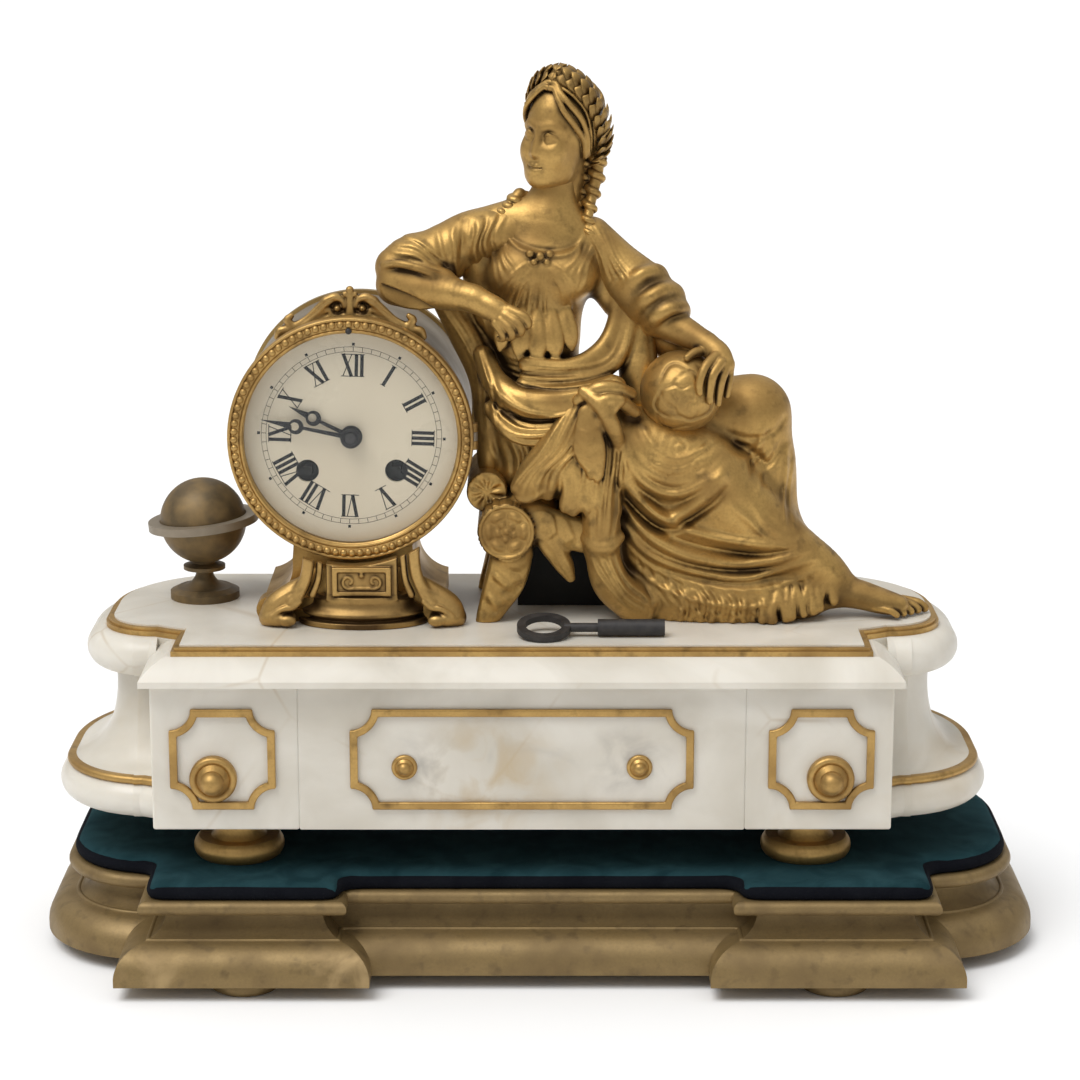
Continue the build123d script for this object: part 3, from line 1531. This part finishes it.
with BuildPart() as laurel_wreath:
    with BuildSketch(Plane(origin=spot(18, 13, 198), x_dir=(1, 0, 0.25), z_dir=(-0.42, -0.5, 0.76))):
        Ellipse(18.5, 19.5)
    extrude(amount=6, both=True)
    fillet(laurel_wreath.edges(), 4)
    add(figure_head.part, mode=Mode.SUBTRACT)
    add(slab(-2, 40, -20, 50, base_top + 100, 92), mode=Mode.SUBTRACT)
laurel_wreath.part.label = "laurel_wreath"
export_step(laurel_wreath.part, "parts/laurel_wreath.step")

with BuildPart() as right_arm:
    upper_arm = ((-6, 8, 150, 13), (-22, 7, 148, 13.5), (-38, 5, 141, 12.5))
    elbow = ((-48, 2, 135, 10.5), (-52, 0, 132, 8))
    forearm = ((-52, 2, 131, 8), (-44, -5, 129.5, 8), (-30, -11, 129, 7), (-17, -15, 128.5, 5.5))
    hanging_hand = ((-8, -18, 122, 6), (0, -21, 116, 4))
    add(limb((*upper_arm, *elbow)))
    add(limb((*forearm, *hanging_hand)))
    add(figure_torso.part, mode=Mode.SUBTRACT)
    add(drum_room, mode=Mode.SUBTRACT)
    add(bezel_room, mode=Mode.SUBTRACT)
    add(crest_room, mode=Mode.SUBTRACT)
right_arm.part.label = "right_arm"
export_step(right_arm.part, "parts/right_arm.step")

with BuildPart() as left_arm:
    add(limb(((27, 8, 147, 12), (44, 5, 128, 13.5), (61, -3, 114, 11))))
    add(limb(((56, 0, 116, 8), (67, -7, 112, 7), (77, -14, 106, 5.5))))
    add(limb(((76, -13, 107.5, 5), (78, -19, 101, 5), (76, -26, 93, 4))))
    add(figure_torso.part, mode=Mode.SUBTRACT)
    add(lap_globe.part, mode=Mode.SUBTRACT)
left_arm.part.label = "left_arm"
export_step(left_arm.part, "parts/left_arm.step")


with BuildPart() as skirt:
    hem_stack = ((0, 80, -3, 38, 23), (12, 80, -3, 42, 24), (30, 71, -2, 40, 23), (50, 61, 0, 34, 22))
    add(stacked((*hem_stack, (68, 52, 3, 28, 20))))
    add(limb(((22, 12, 64, 20), (48, 9, 70, 18), (72, 6, 77, 16), (92, 4, 79, 14.5))))
    add(limb(((91, 4, 80, 14.5), (96, 4, 60, 13), (99, 4, 38, 12), (108, 1, 18, 12))))
    add(limb(((26, -2, 66, 20), (48, -6, 66, 18.5), (66, -9, 62, 16.5), (78, -10, 56, 13))))
    add(limb(((70, -9, 60, 16), (86, -9, 44, 15), (103, -8, 28, 13), (119, -7, 18, 10), (130, -6, 11, 6.5))))
    add(limb(((126, -5, 8, 6), (134, -6, 7.5, 6), (146, -8, 5.5, 6), (154, -9, 4.4, 5), (160, -9, 3.6, 3))))
    add(slab(-60, 200, -80, 80, base_top - 40, 40), mode=Mode.SUBTRACT)
    add(figure_torso.part, mode=Mode.SUBTRACT)
    add(stool.part, mode=Mode.SUBTRACT)
    add(lap_globe.part, mode=Mode.SUBTRACT)
    add(left_arm.part, mode=Mode.SUBTRACT)
    add(rod_threads.part, mode=Mode.SUBTRACT)
    add(drum_room, mode=Mode.SUBTRACT)
    add(hinge_room, mode=Mode.SUBTRACT)
    add(bezel_room, mode=Mode.SUBTRACT)
skirt.part.label = "skirt"
export_step(skirt.part, "parts/skirt.step")


celestial_centre = spot(celestial_x, celestial_y, celestial_rise)

with BuildPart() as globe_ball:
    with Locations(celestial_centre):
        Sphere(celestial_radius)
globe_ball.part.label = "globe_ball"
export_step(globe_ball.part, "parts/globe_ball.step")

with BuildPart() as globe_stand:
    with BuildSketch(upright(spot(celestial_x, celestial_y, 0), (1, 0, 0))):
        with BuildLine():
            neck_top = celestial_rise - 8
            rim = celestial_foot - 3
            Polyline((0, neck_top), (0, 0), (celestial_foot, 0), (celestial_foot, 3), (rim, 4.5))
            ThreePointArc((rim, 4.5), (0.4 * celestial_foot, 6.5), (3.4, 10.5))
            Polyline((3.4, 10.5), (8.5, 12), (8.5, 13.5), (4.6, 14.5), (6.5, neck_top), (0, neck_top))
        make_face()
    revolve(axis=Axis(celestial_centre, (0, 0, 1)))
    add(globe_ball.part, mode=Mode.SUBTRACT)
    add(rod_threads.part, mode=Mode.SUBTRACT)
globe_stand.part.label = "globe_stand"
export_step(globe_stand.part, "parts/globe_stand.step")

with BuildPart() as globe_ring:
    lean = radians(celestial_tilt)
    ring_axis = (-sin(lean), 0, cos(lean))
    with BuildSketch(Plane(origin=celestial_centre, x_dir=(cos(lean), 0, sin(lean)), z_dir=ring_axis)):
        Circle(celestial_ring)
        Circle(celestial_radius + ring_clear, mode=Mode.SUBTRACT)
    extrude(amount=1.6, both=True)
globe_ring.part.label = "globe_ring"
export_step(globe_ring.part, "parts/globe_ring.step")


with BuildPart() as winding_key:
    key_z = base_top + key_barrel + key_clear
    bow_x = key_x + key_bow / 2
    dip = radians(12)
    bow_plane = Plane(origin=(clock_x + bow_x, key_y, key_z), x_dir=(1, 0, 0), z_dir=(0, -sin(dip), cos(dip)))
    with BuildSketch(bow_plane):
        Ellipse(key_bow / 2, 0.5 * key_bow)
        Ellipse(key_bow / 2 - key_wire * 1.3, 0.5 * key_bow - key_wire * 1.3, mode=Mode.SUBTRACT)
    extrude(amount=key_wire / 2, both=True)
    shank_from = clock_x + key_x + key_bow - key_wire
    barrel_from = clock_x + key_x + key_length - key_barrel_length
    with BuildSketch(Plane(origin=(shank_from, key_y, key_z), x_dir=(0, 1, 0), z_dir=(1, 0, 0))):
        Circle(key_shank)
    extrude(amount=barrel_from - shank_from + 1)
    with BuildSketch(Plane(origin=(barrel_from, key_y, key_z), x_dir=(0, 1, 0), z_dir=(1, 0, 0))):
        Circle(key_barrel)
    extrude(amount=key_barrel_length)
    with BuildSketch(Plane(origin=(barrel_from + 6, key_y, key_z), x_dir=(0, 1, 0), z_dir=(1, 0, 0))):
        Rectangle(key_socket, key_socket)
    extrude(amount=key_barrel_length, mode=Mode.SUBTRACT)
winding_key.part.label = "winding_key"
export_step(winding_key.part, "parts/winding_key.step")
